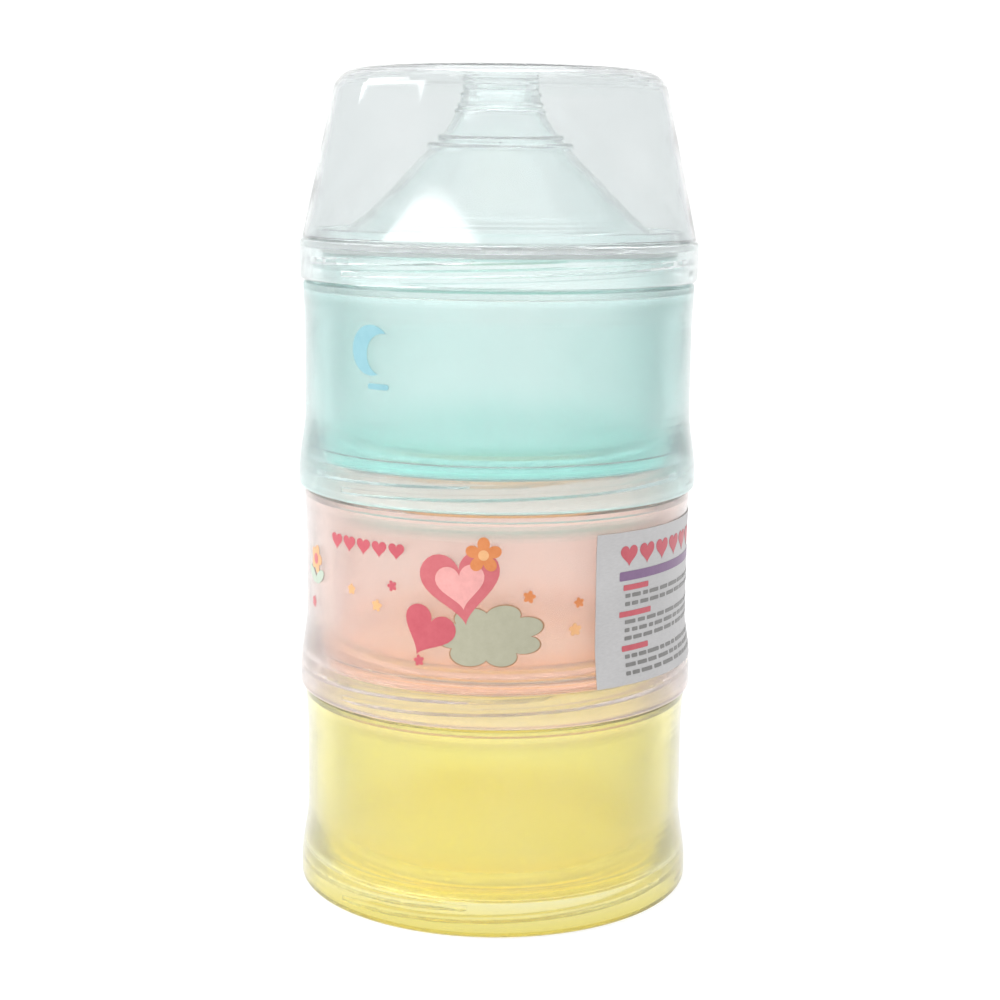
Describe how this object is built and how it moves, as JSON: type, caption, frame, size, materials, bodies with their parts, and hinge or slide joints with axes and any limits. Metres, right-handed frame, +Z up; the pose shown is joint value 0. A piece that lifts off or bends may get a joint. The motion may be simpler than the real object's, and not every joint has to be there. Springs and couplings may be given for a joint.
{
  "type": "formula dispenser",
  "caption": "Stack of screw-together powder cups with tinted waisted walls, topped by a clear funnel lid with a capped spout and a clear lift-off dome.",
  "frame": {"origin": "centre of the foot, on the surface that the stack stands on", "axes": "+Z up along the stack's axis, -Y to the front, +X to the right as seen from the front"},
  "size_m": [0.0812, 0.0812, 0.1656],
  "materials": {
    "yellow_plastic": "glossy translucent polypropylene, pale yellow tint",
    "peach_plastic": "glossy translucent polypropylene, peach tint",
    "mint_plastic": "glossy translucent polypropylene, mint tint",
    "clear_plastic": "glossy clear polypropylene",
    "seal": "soft milky silicone",
    "label": "silver-grey printed film"
  },
  "bodies": {
    "base_tier": {"base_sleeve": "yellow_plastic", "base_cup": "yellow_plastic"},
    "lower_seal": {"lower_seal_ring": "seal"},
    "middle_tier": {"middle_sleeve": "peach_plastic", "middle_cup": "peach_plastic", "info_label": "label"},
    "middle_seal": {"middle_seal_ring": "seal"},
    "top_tier": {"top_sleeve": "mint_plastic", "top_cup": "mint_plastic"},
    "upper_seal": {"upper_seal_ring": "seal"},
    "lid": {"funnel_lid": "clear_plastic"},
    "cap": {"spout_cap": "clear_plastic"},
    "dome": {"dome_cover": "clear_plastic"}
  },
  "joints": [
    {"name": "middle_tier_rise", "type": "slide", "parent": "base_tier", "child": "lower_seal", "axis": [0, 0, 1], "range_m": [0, 0.00601]},
    {"name": "middle_tier_unscrew", "type": "hinge", "parent": "lower_seal", "child": "middle_tier", "pos_m": [0, 0, 0.0415], "axis": [0, 0, 1], "range_deg": [0, 300]},
    {"name": "top_tier_rise", "type": "slide", "parent": "middle_tier", "child": "middle_seal", "axis": [0, 0, 1], "range_m": [0, 0.00601]},
    {"name": "top_tier_unscrew", "type": "hinge", "parent": "middle_seal", "child": "top_tier", "pos_m": [0, 0, 0.083], "axis": [0, 0, 1], "range_deg": [0, 300]},
    {"name": "lid_rise", "type": "slide", "parent": "top_tier", "child": "upper_seal", "axis": [0, 0, 1], "range_m": [0, 0.00601]},
    {"name": "lid_unscrew", "type": "hinge", "parent": "upper_seal", "child": "lid", "pos_m": [0, 0, 0.1245], "axis": [0, 0, 1], "range_deg": [0, 300]},
    {"name": "cap_pull", "type": "slide", "parent": "lid", "child": "cap", "axis": [0, 0, 1], "range_m": [0, 0.012]},
    {"name": "dome_lift", "type": "slide", "parent": "cap", "child": "dome", "axis": [0, 0, 1], "range_m": [0, 0.045]}
  ],
  "couplings": [
    {"joint": "middle_tier_rise", "follows": "middle_tier_unscrew", "m_per_rad": 0.0011459},
    {"joint": "top_tier_rise", "follows": "top_tier_unscrew", "m_per_rad": 0.0011459},
    {"joint": "lid_rise", "follows": "lid_unscrew", "m_per_rad": 0.0011459}
  ]
}
